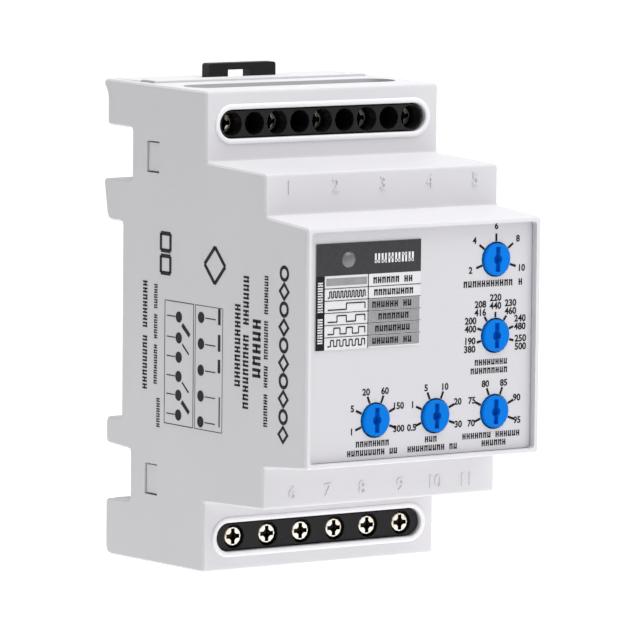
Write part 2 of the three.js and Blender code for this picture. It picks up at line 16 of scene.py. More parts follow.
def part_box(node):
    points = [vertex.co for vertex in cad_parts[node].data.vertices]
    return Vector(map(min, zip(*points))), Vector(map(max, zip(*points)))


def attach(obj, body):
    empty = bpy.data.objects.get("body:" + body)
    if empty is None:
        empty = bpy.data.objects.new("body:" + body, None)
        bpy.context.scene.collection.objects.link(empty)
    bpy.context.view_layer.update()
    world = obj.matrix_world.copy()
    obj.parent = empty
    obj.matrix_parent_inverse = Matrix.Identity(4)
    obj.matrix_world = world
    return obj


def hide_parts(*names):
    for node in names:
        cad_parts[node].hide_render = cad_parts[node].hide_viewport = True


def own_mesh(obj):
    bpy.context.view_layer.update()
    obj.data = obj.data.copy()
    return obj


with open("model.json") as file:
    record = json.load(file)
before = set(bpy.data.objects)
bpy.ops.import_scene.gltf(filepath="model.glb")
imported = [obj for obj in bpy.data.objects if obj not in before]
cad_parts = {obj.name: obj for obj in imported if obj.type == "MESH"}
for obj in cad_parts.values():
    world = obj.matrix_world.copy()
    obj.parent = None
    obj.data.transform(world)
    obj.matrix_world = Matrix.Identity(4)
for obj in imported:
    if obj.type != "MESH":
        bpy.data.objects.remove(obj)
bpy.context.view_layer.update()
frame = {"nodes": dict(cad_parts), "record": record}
MM = 0.001
body_of_node = {n: b for b, ns in frame["record"]["behaviour"]["bodies"].items() for n in ns}
slot_of_node = {s["node"]: s["material_slot"] for s in frame["record"]["subparts"]}
random = np.random.default_rng(7)

# %% [markdown]
# ## Shader arithmetic
# A finish is a small network of nodes. Wiring Math nodes by hand hides the sum they stand for, so one
# class wraps a socket and turns ordinary arithmetic into those nodes. Another wraps the material and
# adds any other node from its type, its settings and its inputs.

# %% A socket that can be added and multiplied
class Signal:
    """A value that changes over a surface. Each operator adds one Math node and returns its output."""

    def __init__(self, recipe, socket):
        self.recipe = recipe
        self.socket = socket

    def _math(self, operation, *inputs):
        return self.recipe.add("ShaderNodeMath", {"operation": operation}, dict(enumerate(inputs)))

    def __add__(self, other):
        return self._math("ADD", self, other)

    def __sub__(self, other):
        return self._math("SUBTRACT", self, other)

    def __rsub__(self, other):
        return self._math("SUBTRACT", other, self)

    def __mul__(self, other):
        return self._math("MULTIPLY", self, other)

    def __pow__(self, other):
        return self._math("POWER", self, other)

    __radd__ = __add__
    __rmul__ = __mul__

    def fract(self):
        return self._math("FRACT", self)

    def above(self, limit):
        return self._math("GREATER_THAN", self, limit)

    def below(self, limit):
        return self._math("LESS_THAN", self, limit)


# %% A finish under construction
class Recipe:
    """A material whose nodes are added one at a time; dress() connects the result to its shader."""

    def __init__(self, name):
        self.material = bpy.data.materials.new(name)
        self.material.use_nodes = True
        self.tree = self.material.node_tree
        self.shader = self.tree.nodes["Principled BSDF"]

    def feed(self, socket, value):
        if isinstance(value, Signal):
            self.tree.links.new(value.socket, socket)
        elif isinstance(value, tuple) and socket.type == "RGBA":
            socket.default_value = (*value, 1)
        else:
            socket.default_value = value

    def add(self, kind, settings=None, inputs=None, output=0):
        node = self.tree.nodes.new(kind)
        for key, value in (settings or {}).items():
            setattr(node, key, value)
        for key, value in (inputs or {}).items():
            self.feed(node.inputs[key], value)
        return Signal(self, node.outputs[output])

    def place(self, stretch=(1, 1, 1)):
        here = self.add("ShaderNodeTexCoord", output="Object")
        return self.add("ShaderNodeMapping", inputs={"Vector": here, "Scale": stretch})

    def axes(self):
        here = self.add("ShaderNodeTexCoord", output="Object")
        split = self.add("ShaderNodeSeparateXYZ", inputs={0: here}).socket.node
        return [Signal(self, out) for out in split.outputs]

    def noise(self, scale, detail=2.0, where=None):
        inputs = {"Vector": where or self.place(), "Scale": scale, "Detail": detail}
        return self.add("ShaderNodeTexNoise", inputs=inputs)

    def mix(self, low, high, factor):
        return self.add("ShaderNodeMix", {"data_type": "RGBA"}, {0: factor, 6: low, 7: high}, 2)

    def bump(self, height, distance, strength=1.0):
        inputs = {"Height": height, "Distance": distance, "Strength": strength}
        return self.add("ShaderNodeBump", inputs=inputs)

    def dress(self, **values):
        for key, value in values.items():
            self.feed(self.shader.inputs[key.replace("_", " ")], value)
        return self.material


print("shader arithmetic ready")

# %% [markdown]
# ## Moulded plastic
# An enclosure's tool is spark-eroded, which leaves a fine even grain, and the melt cools unevenly, which
# leaves a faint cloudiness. Three noises of very different scale do this: clouds of some centimetres in
# the colour, patches of millimetres in the roughness, and the grain itself as bump.

# %% Moulded plastic, glossy plastic and film
def shade(colour, factor):
    """The colour with each of its channels multiplied by the factor, and kept at 1 or less."""
    return tuple(min(1.0, c * factor) for c in colour)


def moulded(name, colour, roughness, grain=1.0, cloud=0.03, coat=0.0, gloss=0.5):
    r = Recipe(name)
    clouds = r.noise(45, 3)
    patches = r.noise(400, 2)
    grains = r.noise(3600, 2)
    r.dress(
        Base_Color=r.mix(shade(colour, 1 - cloud), shade(colour, 1 + cloud), clouds),
        Roughness=patches * 0.16 + (roughness - 0.08),
        Normal=r.bump(grains, 0.00003, 0.35 * grain),
        Coat_Weight=coat,
        Specular_IOR_Level=gloss,
    )
    return r.material


finish = {
    "housing": moulded("housing_plastic", (0.64, 0.63, 0.655), 0.52),
    "black_plastic": moulded("black_plastic", (0.006, 0.006, 0.007), 0.5, grain=0.8, cloud=0.2, gloss=0.25),
    "dial_blue": moulded("dial_blue", (0.0, 0.165, 0.64), 0.5, grain=0.4, cloud=0.1, gloss=0.06),
    "trimmer_plastic": moulded("trimmer_plastic", (0.02, 0.05, 0.2), 0.35, cloud=0.1),
    "film_box": moulded("film_box", (0.42, 0.03, 0.02), 0.4, cloud=0.08),
    "varistor_coat": moulded("varistor_coat", (0.01, 0.08, 0.36), 0.45, grain=2.0, cloud=0.12),
    # the lip: lower roughness for its real gloss, and the housing's grey painted lighter as a painted
    # highlight
    "glossy_lip_painted_highlight": moulded("glossy_lip_painted_highlight", (0.80, 0.79, 0.81), 0.36, grain=0.3, cloud=0.02),
    "label_film": moulded("label_film", (0.58, 0.57, 0.60), 0.40, grain=0.5, cloud=0.012),
    "plate_film": moulded("plate_film", (0.66, 0.66, 0.68), 0.34, grain=0.4, cloud=0.02),
    "lens": moulded("lens", (0.13, 0.13, 0.14), 0.22, grain=0.1, cloud=0.1, coat=0.4),
}
print("plastics", sorted(finish))

# %% [markdown]
# ## Metals, board and sleeve
# Stamped metal keeps the direction of its rolling, so its noise is stretched along one axis. Plating
# wears and tarnishes in patches, and a screw's recess is painted near black as painted shade. A circuit board
# has copper tracks that show through its green lacquer as slightly paler, slightly raised lines.

# %% Metals
def metal(name, colour, tarnish, roughness, stretch=(1, 1, 1), face_mm=None):
    """Drawn, stained metal. Just behind face_mm, which is a depth in mm, it is painted near black: painted
    shade in a screw's recess.
    """
    r = Recipe(name)
    drawn = r.noise(1500, 3, r.place(stretch))
    stains = r.noise(260, 4)
    worn = (stains - 0.42) * 2.2
    plated = r.mix(colour, tarnish, worn * 0.5)
    if face_mm is not None:
        _, depth, _ = r.axes()
        # painted shade: deeper than the head's face, in the recess, the plating is painted near black
        painted_recess_shade, painted_shade_starts_mm = (0.012, 0.010, 0.008), 0.22
        plated = r.mix(plated, painted_recess_shade, depth.above((face_mm + painted_shade_starts_mm) * MM))
    r.dress(
        Base_Color=plated,
        Metallic=1.0,
        Roughness=drawn * 0.22 + stains * 0.15 + (roughness - 0.18),
        Normal=r.bump(drawn, 0.00002, 0.4),
    )
    return r.material


def board_finish(name):
    """Pale tracks: the fractional part of a coordinate is near its middle, where a coarse noise allows."""
    r = Recipe(name)
    x, _, z = r.axes()
    lanes_up = (x * 620).fract().below(0.42) * r.noise(120, 1).above(0.5)
    lanes_across = (z * 480).fract().below(0.4) * r.noise(95, 1, r.place((1.3, 1, 0.8))).below(0.46)
    tracks = r.add("ShaderNodeMath", {"operation": "MAXIMUM"}, {0: lanes_up, 1: lanes_across})
    r.dress(
        Base_Color=r.mix((0.006, 0.07, 0.03), (0.02, 0.17, 0.07), tracks),
        Roughness=0.4 - tracks * 0.1,
        Normal=r.bump(tracks, 0.00004, 0.6),
        Coat_Weight=0.3,
    )
    return r.material


def sleeve_finish(name):
    """A dark shrunk sleeve with one pale stripe down its side, where x is small enough."""
    r = Recipe(name)
    x, _, _ = r.axes()
    stripe_edge_mm = -13.6
    stripe = x.below(stripe_edge_mm * MM)
    r.dress(
        Base_Color=r.mix((0.008, 0.014, 0.05), (0.42, 0.45, 0.5), stripe),
        Roughness=r.noise(500, 2) * 0.2 + 0.2,
        Normal=r.bump(r.noise(900, 2), 0.00003, 0.4),
    )
    return r.material


finish |= {
    "zinc_steel": metal("zinc_steel", (0.62, 0.64, 0.66), (0.42, 0.43, 0.44), 0.36, (1, 0.1, 1)),
    "brass": metal("brass", (0.80, 0.58, 0.25), (0.45, 0.28, 0.10), 0.32, (1, 1, 0.1)),
    "spring_steel": metal("spring_steel", (0.56, 0.56, 0.58), (0.32, 0.31, 0.30), 0.30),
    "circuit_board": board_finish("circuit_board"),
    "capacitor_sleeve": sleeve_finish("capacitor_sleeve"),
}
nickel, nickel_stain = (0.80, 0.76, 0.68), (0.55, 0.38, 0.20)
# one finish per row, since each row's painted recess shade starts at its own face depth
screw_finish = {
    row: metal(f"{row}_screw_plate", nickel, nickel_stain, 0.22, face_mm=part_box(f"{row}_screw_1")[0][1] / MM)
    for row in ("upper", "lower")
}
for node, piece in frame["nodes"].items():
    made = screw_finish[node[:5]] if "_screw_" in node else finish[slot_of_node[node]]
    piece.data.materials.clear()
    piece.data.materials.append(made)
print("finishes", len(finish) + len(screw_finish), "on", len(frame["nodes"]), "nodes")

# %% [markdown]
# ## Moulded edges
# No moulded or machined edge is sharp. Each solid's loose triangles are merged, the flat ones are joined
# into whole faces, and a bevel rounds every real edge by a radius that suits the piece. The normals are
# then weighted by area, so that a large flat face is shaded flat up to its bevel.

# %% Round every solid's edges
REAL_EDGE_DEGREES = 28
JOINED_FACE_DEGREES = 1


def rounded(node, radius_mm):
    """A copy of the node with its flat triangles joined, its real edges bevelled, and smooth."""
    mesh = frame["nodes"][node].data.copy()
    shape = bmesh.new()
    shape.from_mesh(mesh)
    bmesh.ops.remove_doubles(shape, verts=shape.verts, dist=2e-6)
    flat_enough = math.radians(JOINED_FACE_DEGREES)
    bmesh.ops.dissolve_limit(shape, angle_limit=flat_enough, verts=shape.verts, edges=shape.edges)
    shape.to_mesh(mesh)
    shape.free()
    piece = bpy.data.objects.new(f"{node}_moulded", mesh)
    bpy.context.scene.collection.objects.link(piece)
    bevel = piece.modifiers.new("edges", "BEVEL")
    bevel.width = radius_mm * MM
    bevel.segments = 2
    bevel.limit_method = "ANGLE"
    bevel.angle_limit = math.radians(REAL_EDGE_DEGREES)
    bevel.harden_normals = True
    flatten = piece.modifiers.new("level", "WEIGHTED_NORMAL")
    flatten.mode = "FACE_AREA"
    flatten.keep_sharp = True
    mesh.shade_smooth()
    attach(piece, body_of_node[node])
    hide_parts(node)
    return piece


SMALL_RADIUS = 0.07
edge_radius = {"front_housing": 0.22, "rear_base": 0.15, "rail_clip": 0.2, "output_relay": 0.4,
               "film_capacitor": 0.4}
left_as_made = ("front_label", "status_plate", "status_lens", "clip_spring", "smoothing_capacitor")
for node in frame["nodes"]:
    if node not in left_as_made:
        rounded(node, edge_radius.get(node, SMALL_RADIUS))

# %% [markdown]
# ## Surfaces from grids
# A sweep needs only two lists: where the path goes, and the outline that travels along it. Both are
# arrays, so the whole grid of points is one sum, and the faces join each point to its neighbours.

# %% A surface from a grid of points
def new_piece(name, points, faces, smooth=True, merge=1e-7):
    """A mesh object of points (N, 3), in metres, and faces, with doubles merged and faces outwards."""
    mesh = bpy.data.meshes.new(name)
    mesh.from_pydata(np.asarray(points, float).tolist(), [], [[int(i) for i in face] for face in faces])
    shape = bmesh.new()
    shape.from_mesh(mesh)
    bmesh.ops.remove_doubles(shape, verts=shape.verts, dist=merge)
    bmesh.ops.recalc_face_normals(shape, faces=shape.faces)
    shape.to_mesh(mesh)
    shape.free()
    if smooth:
        mesh.shade_smooth()
    piece = bpy.data.objects.new(name, mesh)
    bpy.context.scene.collection.objects.link(piece)
    return piece


def grid_faces(rows, columns, wrap_rows, wrap_columns):
    """Four-sided faces between neighbouring points of a rows by columns grid, joined round where asked."""
    i = np.arange(rows if wrap_rows else rows - 1)[:, None]
    j = np.arange(columns if wrap_columns else columns - 1)[None, :]
    ni, nj = (i + 1) % rows, (j + 1) % columns
    corners = [i * columns + j, ni * columns + j, ni * columns + nj, i * columns + nj]
    return np.stack([np.broadcast_to(c, (i.size, j.size)) for c in corners], -1).reshape(-1, 4)


def belongs(piece, body, slot, material=None, *nodes):
    """Gives the piece its body and its finish, which is the slot's unless a material is given, and hides the
    nodes it stands for.
    """
    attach(piece, body)
    piece.data.materials.append(material or finish[slot])
    if nodes:
        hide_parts(*nodes)
    return piece


print("grid helpers ready")

# %% [markdown]
# ## The clip's spring
# A compression spring's wire is a circle carried along a helix whose end coils lie flat. The last turn
# at each end has almost no rise. Its foot rides on the clip and its head stays under the base's stop, so
# in the relay it shortens by as much as the clip rises; here it is wound once at its full length and
# moves with the clip.

# %% Wind the spring
def coil(name, low, high, radius, wire, turns, sides=12, steps_per_turn=32, flatness=0.09):
    """A tube on a helix: its height is t - flatness sin(2 pi t), which rises slowly at both ends."""
    t = np.linspace(0, 1, turns * steps_per_turn + 1)
    ease = t - flatness * np.sin(2 * np.pi * t)
    angle = 2 * np.pi * turns * t
    centre = (low + high) / 2
    rise = low[2] + wire / 2 + (high[2] - low[2] - wire) * ease
    out = np.stack([np.cos(angle), np.sin(angle), 0 * angle], -1)
    path = np.stack([centre[0] + radius * out[:, 0], centre[1] + radius * out[:, 1], rise], -1)
    around = np.linspace(0, 2 * np.pi, sides, endpoint=False)
    outward, upward = np.cos(around)[None, :, None], np.sin(around)[None, :, None]
    ring = outward * out[:, None, :] + upward * np.array([0, 0, 1])
    tube = path[:, None, :] + wire / 2 * ring
    faces = grid_faces(len(t), sides, False, True).tolist()
    faces += [list(range(sides)), list(range((len(t) - 1) * sides, len(t) * sides))]
    return new_piece(name, tube.reshape(-1, 3), faces)


spring_low, spring_high = (np.array(corner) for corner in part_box("clip_spring"))
coil_radius, wire_thickness, coil_turns = 1.75 * MM, 0.5 * MM, 5
spring = coil("wound_spring", spring_low, spring_high, coil_radius, wire_thickness, coil_turns)
belongs(spring, "clip", "spring_steel", None, "clip_spring")
coiled_length = float(spring_high[2] - spring_low[2])
clip_joint = next(j for j in frame["record"]["behaviour"]["joints"] if j["name"] == "clip_slide")
1 - clip_joint["range_m"][1] / coiled_length
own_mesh(spring)
print("spring length in mm", round(coiled_length / MM, 2))

# %% [markdown]
# ## Rims round the long slots
# Each row of screws lies behind a slot with round ends. The slot has a raised lip, rubbed smooth, that
# keeps a screwdriver from slipping off the face. It is an arched section carried round the outline. Its
# plastic is the housing's grey painted lighter, a painted highlight along the lip.

# %% Sweep a lip round a slot
LIP_WIDTH, LIP_HEIGHT, LIP_ROOT, LIP_GAP = 1.0, 0.32, 0.25, 0.02  # the root is sunk into the face


def stadium_path(length, height, steps=28):
    """Points and outward directions round a slot: two half circles joined by its straight sides."""
    reach = (length - height) / 2
    right = np.linspace(-np.pi / 2, np.pi / 2, steps)
    angle = np.concatenate([right, right + np.pi])
    out = np.stack([np.cos(angle), np.sin(angle)], -1)
    centre = np.concatenate([np.full(steps, reach), np.full(steps, -reach)])
    return np.stack([centre, 0 * centre], -1) + out * height / 2, out


def slot_lip(name, centre_z, face_y, length, height):
    """The lip's section is a flattened arch: outwards by its width, and proud by a power of the sine."""
    base, out = stadium_path(length, height)
    turn = np.linspace(0, np.pi, 9)
    spread = np.concatenate([LIP_WIDTH * (0.5 - 0.5 * np.cos(turn)), [LIP_WIDTH, 0.0]])
    proud = np.concatenate([LIP_HEIGHT * np.sin(turn) ** 0.6, [-LIP_ROOT, -LIP_ROOT]])
    flat = base[:, None, :] + out[:, None, :] * (spread[None, :, None] + LIP_GAP)
    depth = np.broadcast_to(face_y - proud[None, :], flat.shape[:2])
    points = np.stack([flat[..., 0], depth, centre_z + flat[..., 1]], -1)
    piece = new_piece(name, points.reshape(-1, 3) * MM, grid_faces(len(base), len(turn) + 2, True, True))
    # painted highlight: the lip's plastic is painted lighter than the housing round it
    return belongs(piece, "casing", "housing", finish["glossy_lip_painted_highlight"])


slot_z, terminal_face_y, slot_length, slot_height = 38.4, -28, 46.6, 5.4
lips = [slot_lip(f"{row}_slot_lip", z, terminal_face_y, slot_length, slot_height)
        for row, z in (("upper", slot_z), ("lower", -slot_z))]
print("slot lips", len(lips))

# %% [markdown]
# ## Numbers and strokes
# Digits come from the built-in typeface, turned into a mesh and laid on a face. Longer print is drawn
# as rows of small strokes in the same rhythm as words, so the labels have the right weight and no words.

# %% Lay flat shapes on a face
def laid(points, face):
    """Moves (u, v, height) in mm onto a face: front looks along -Y, back along +Y, and side along -X."""
    u, v, h = (points[:, k] for k in range(3))
    if face[0] == "front":
        return np.stack([u, face[1] - h, v], -1) * MM
    if face[0] == "back":
        return np.stack([u, face[1] + h, v], -1) * MM
    return np.stack([face[1] - h, u, v], -1) * MM


def bars(name, boxes, face, thick=0.03):
    """Thin boxes from rows of (u, v, half length, half width, angle): the corners are turned as one array."""
    u, v, a, b, angle = np.asarray(boxes, float).T
    corner = np.array([[-1, -1], [1, -1], [1, 1], [-1, 1]])
    x, y = corner[:, 0] * a[:, None], corner[:, 1] * b[:, None]
    flat = np.stack([u[:, None] + x * np.cos(angle)[:, None] - y * np.sin(angle)[:, None],
                     v[:, None] + x * np.sin(angle)[:, None] + y * np.cos(angle)[:, None]], -1)
    count = len(u)
    levels = np.array([0.0, thick])
    points = np.concatenate([np.concatenate([flat, np.full((count, 4, 1), h)], -1) for h in levels], 1)
    box = np.array([[0, 1, 2, 3], [4, 5, 6, 7], [0, 1, 5, 4], [1, 2, 6, 5], [2, 3, 7, 6], [3, 0, 4, 7]])
    faces = (box[None] + 8 * np.arange(count)[:, None, None]).reshape(-1, 4)
    mesh_points = laid(points.reshape(-1, 3), face)
    return new_piece(name, mesh_points, faces, smooth=False)


def discs(name, places, radius, face, thick=0.03, inner=0.0, sides=24):
    """Discs, or rings with an inner radius: a square section carried round each centre."""
    angle = np.linspace(0, 2 * np.pi, sides, endpoint=False)
    section = np.array([[inner, 0], [radius, 0], [radius, thick], [inner, thick]])
    ring = np.stack([np.cos(angle)[:, None] * section[:, 0], np.sin(angle)[:, None] * section[:, 0],
                     np.broadcast_to(section[:, 1], (sides, 4))], -1).reshape(-1, 3)
    centres = np.column_stack([np.asarray(places, float), np.zeros(len(places))])
    points = (centres[:, None] + ring[None]).reshape(-1, 3)
    one = grid_faces(sides, 4, True, True)
    faces = (one[None] + sides * 4 * np.arange(len(places))[:, None, None]).reshape(-1, 4)
    return new_piece(name, laid(points, face), faces, smooth=False)


def words(u, v, length, height, upright=False):
    """Strokes that stand like the letters of a line of print: two uprights and a short bar per letter."""
    pitch = 0.86 * height
    count = max(1, int(length / pitch))
    keep = np.ones(count, bool)
    stop = 0
    while stop < count:
        stop += int(random.integers(5, 10))
        if stop < count - 2:
            keep[stop] = False
    along = u - length / 2 + pitch * (np.arange(count)[keep] + 0.5)
    rows = []
    parts_of_a_letter = [(-0.21, 0.115, 1.0, 0), (0.21, 0.115, 1.0, 0), (0.0, 0.25, 0.2, 1)]
    for shift, half_long, tall, is_bar in parts_of_a_letter:
        lifted = v + random.choice([-0.3, 0, 0.3], len(along)) * height * is_bar
        size = np.tile([height * half_long, height * tall / 2, 0], (len(along), 1))
        rows.append(np.column_stack([along + shift * height, lifted, size]))
    made = np.concatenate(rows)
    if upright:  # a quarter turn about (u, v)
        made = np.column_stack([made[:, 1] - v + u, v - (made[:, 0] - u), made[:, 3], made[:, 2], made[:, 4]])
    return made


def digits(name, items, face, thick=0.03, bold=0.0):
    """Generic numbers, each centred on its own place: rows of (text, u, v, size in mm)."""
    made = []
    for text, u, v, size in items:
        curve = bpy.data.curves.new(name, "FONT")
        curve.body = text
        curve.size = size
        curve.align_x, curve.align_y = "CENTER", "CENTER"
        curve.extrude = thick / 2
        curve.offset = bold
        curve.resolution_u = 3
        holder = bpy.data.objects.new(name, curve)
        bpy.context.scene.collection.objects.link(holder)
        bpy.context.view_layer.update()
        flat = bpy.data.meshes.new_from_object(holder.evaluated_get(bpy.context.evaluated_depsgraph_get()))
        bpy.data.objects.remove(holder)
        points = np.empty(len(flat.vertices) * 3)
        flat.vertices.foreach_get("co", points)
        points = points.reshape(-1, 3) + [u, v, thick / 2]
        made.append((points, [list(f.vertices) for f in flat.polygons]))
        bpy.data.meshes.remove(flat)
    offsets = np.cumsum([0] + [len(p) for p, _ in made[:-1]])
    faces = [[i + offset for i in face_] for (_, own), offset in zip(made, offsets) for face_ in own]
    points = laid(np.concatenate([p for p, _ in made]), face)
    return new_piece(name, points, faces, smooth=False, merge=1e-8)


print("print helpers ready")

# %% [markdown]
# ## Inks
# Screen-printed ink is a thin, slightly uneven coat. Its colour varies a little with its thickness, and
# its surface is smoother than the grain under it. One flat colour would look like a hole in the plastic,
# so a noise stands for the thickness and drives colour, gloss and relief together.

# %% Inks
def ink(name, colour):
    r = Recipe(name)
    thickness = r.noise(900, 3)
    r.dress(
        Base_Color=r.mix(shade(colour, 0.8), shade(colour, 1.25), thickness),
        Roughness=thickness * 0.2 + 0.32,
        Normal=r.bump(thickness, 0.00001, 0.5),
        Specular_IOR_Level=0.15,
    )
    return r.material


black_ink = ink("black_ink", (0.006, 0.006, 0.007))
header_ink = ink("header_ink", (0.040, 0.039, 0.042))
grey_ink = ink("grey_ink", (0.27, 0.27, 0.28))
pale_ink = ink("pale_ink", (0.72, 0.72, 0.74))
print("inks", [m.name for m in (black_ink, header_ink, grey_ink, pale_ink)])

# %% [markdown]
# ## Terminal numbers
# The shoulders carry moulded numbers beside the terminals, raised by a fifth of a millimetre in the
# housing's own plastic. A bump could fake them, but real sides catch the light where a bump stays flat.

# %% Raised numbers on the shoulders
shoulder = ("front", -47.3)
raised_z, raised_size, relief = 28.1, 3.5, 0.2
upper_x, lower_x = (-21.0, -10.6, 0.0, 10.6, 21.0), (-19.7, -11.8, -4.0, 4.6, 12.4, 19.7)
raised = [(str(n + 1), x, raised_z, raised_size) for n, x in enumerate(upper_x)]
raised += [(str(n + 6), x, -raised_z, raised_size) for n, x in enumerate(lower_x)]
belongs(digits("raised_numbers", raised, shoulder, relief), "casing", "housing")
print("raised numbers", len(raised))

# %% [markdown]
# ## Dial scales
# Each dial has ticks that point at its centre, with a number at the end of each. The steps are even, so
# one list of numbers gives every tick's angle: a fraction of the dial's sweep either side of the top.

# %% Ticks, numbers and captions
label_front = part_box("front_label")[0][1] / MM
dial_face = ("front", label_front - 0.005)
dial = {n.removesuffix("_knob"): (np.array(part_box(n)[0]) + np.array(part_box(n)[1])) / 2 / MM
        for n in frame["nodes"] if n.endswith("_knob")}
scales = {  # the numbers, the sweep either side of the top in degrees, and their distance from the centre
    "unbalance": (["2", "4", "6", "8", "10"], 108, 6.1),
    "line_voltage": (["190", "200", "208", "220", "230", "240", "250"], 105, 6.2),
    "undervoltage": (["70", "75", "80", "85", "90", "95"], 110, 5.6),
    "trip_delay": (["0.5", "1", "5", "10", "20", "30"], 110, 5.6),
    "restart_delay": (["1", "5", "20", "60", "150", "300"], 110, 5.6),
}
tick_inner, tick_outer, paired_tick_outer, tick_half_width = 3.35, 4.75, 4.35, 0.22
number_size, pair_size, pair_half_step, pair_reach_across = 1.7, 1.75, 0.75, 6.0
ticks, numbers = [], []
for name, (marks, sweep, reach) in scales.items():
    x, _, z = dial[name]
    angles = np.radians(np.linspace(-sweep, sweep, len(marks)))
    paired = name == "line_voltage"
    for mark, a in zip(marks, angles):
        outer = paired_tick_outer if paired else tick_outer
        middle, half_long = (tick_inner + outer) / 2, (outer - tick_inner) / 2
        u, v = x + middle * np.sin(a), z + middle * np.cos(a)
        ticks.append([u, v, half_long, tick_half_width, np.pi / 2 - a])
        u, v = x + reach * np.sin(a), z + reach * np.cos(a)
        if paired:
            u = x + pair_reach_across * np.sin(a)
            numbers.append((mark, u, v + pair_half_step, pair_size))
            numbers.append((str(2 * int(mark)), u, v - pair_half_step, pair_size))
        else:
            numbers.append((mark, u, v, number_size))
belongs(bars("dial_ticks", ticks, dial_face), "casing", "label_film", black_ink)
belongs(digits("dial_numbers", numbers, dial_face, bold=0.05), "casing", "label_film", black_ink)
captions = [
    words(15.2, 9.95, 11.5, 1.2), words(23.0, 9.95, 2.0, 1.2),
    words(16.2, -4.6, 8.0, 1.1), words(16.0, -6.15, 9.4, 1.1),
    words(16.6, -18.1, 14.0, 1.1), words(17.0, -19.6, 6.0, 1.1),
    words(2.9, -18.1, 3.6, 1.1), words(2.9, -19.7, 11.4, 1.1),
    words(-10.6, -18.1, 7.6, 1.1), words(-10.4, -19.7, 11.8, 1.1),
]
belongs(bars("dial_captions", np.concatenate(captions), dial_face), "casing", "label_film", black_ink)
print("ticks", len(ticks), "numbers", len(numbers), "caption strokes", sum(map(len, captions)))

# %% [markdown]
# ## Status plate
# The plate has a dark heading with the lens in it, a black strip down its left edge, and a table that
# pairs a light's blink pattern with a line of print. Patterns are square waves, drawn as short bars.

# %% Heading, strip and table
plate_low, plate_high = (np.array(c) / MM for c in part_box("status_plate"))
plate_face = ("front", plate_low[1] - 0.005)
left, right, bottom, top = plate_low[0], plate_high[0], plate_low[2], plate_high[2]
heading_foot, strip_edge, column_edge = 13.0, left + 1.95, -12.0
lens_low, lens_high = (np.array(c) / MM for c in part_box("status_lens"))
lens_x, lens_z = (lens_low[0] + lens_high[0]) / 2, (lens_low[2] + lens_high[2]) / 2


def block(u0, u1, v0, v1):
    """A bar given by its edges."""
    return [(u0 + u1) / 2, (v0 + v1) / 2, abs(u1 - u0) / 2, abs(v1 - v0) / 2, 0]


gap = 1.62  # from the lens's middle to the heading round it
heading = [
    block(left, lens_x - gap, heading_foot, top), block(lens_x + gap, right, heading_foot, top),
    block(lens_x - gap, lens_x + gap, lens_z + gap, top),
    block(lens_x - gap, lens_x + gap, heading_foot, lens_z - gap),
]
belongs(bars("plate_heading", heading, plate_face), "casing", "plate_film", header_ink)
surround = discs("lens_surround", [(lens_x, lens_z)], gap * 1.45, plate_face, 0.035, gap - 0.05, 48)
belongs(surround, "casing", "plate_film", header_ink)
strip = [block(left, strip_edge, bottom, heading_foot)]
rows = np.linspace(heading_foot - 0.1, bottom + 0.1, 7)
belongs(bars("plate_strip", strip, plate_face), "casing", "plate_film", black_ink)
shaded = [block(strip_edge + 0.3, column_edge - 0.3, rows[0] - 0.35, rows[1] + 0.5)]
shaded += [block(column_edge + 0.2, right - 0.2, rows[k + 1] + 0.15, rows[k] - 0.15) for k in (2, 3, 4, 5)]
belongs(bars("plate_shading", shaded, plate_face, 0.02), "casing", "plate_film", grey_ink)
waves = []
for k in range(1, 6):
    high, low = rows[k] - 0.55, rows[k + 1] + 0.55
    cells = {1: 10, 2: 1, 3: 2, 4: 3, 5: 6}[k]  # waves in the row
    edges = np.linspace(strip_edge + 0.7, column_edge - 0.7, 2 * cells + 1)
    for c in range(2 * cells):
        level = high if c % 2 else low
        waves.append(block(edges[c], edges[c + 1], level - 0.11, level + 0.11))
        waves.append(block(edges[c + 1] - 0.1, edges[c + 1] + 0.1, low, high))
rules = [block(strip_edge, right, r - 0.06, r + 0.06) for r in rows[1:-1]]
rules += [block(column_edge - 0.08, column_edge + 0.08, bottom, heading_foot)]
lines = [words(-6.3, (rows[k] + rows[k + 1]) / 2, (9.4, 9.0, 9.8, 7.0, 8.4, 9.6)[k], 1.15) for k in range(6)]
table_print = np.concatenate([np.array(waves), np.array(rules), *lines])
belongs(bars("plate_table", table_print, ("front", plate_face[1] - 0.02)), "casing", "plate_film", black_ink)
title = words(-6.2, lens_z, 9.2, 1.75)
over_ink = ("front", plate_face[1] - 0.03)
pale_marks = np.concatenate([title, words((left + strip_edge) / 2, 6.0, 12.0, 1.1, upright=True)])
belongs(bars("plate_title", pale_marks, over_ink, 0.02), "casing", "plate_film", pale_ink)
print("table strokes", len(table_print))

# %% [markdown]
# ## The light's lens
# A turned button of clear grey plastic: a shallow dome, a rounded rim and a straight barrel that runs
# back to the light on the control board. One profile turned round its axis gives all of it at once.

# %% Turn the lens
def turned(name, centre, radii, depths, sides=48):
    """A profile of radius against depth, carried round an axis along Y. Its ends lie on the axis."""
    angle = np.linspace(0, 2 * np.pi, sides, endpoint=False)
    radii, depths = np.asarray(radii), np.asarray(depths)
    x = centre[0] + radii[:, None] * np.cos(angle)
    z = centre[1] + radii[:, None] * np.sin(angle)
    points = np.stack([x, np.broadcast_to(depths[:, None], x.shape), z], -1).reshape(-1, 3)
    return new_piece(name, points * MM, grid_faces(len(radii), sides, False, True))


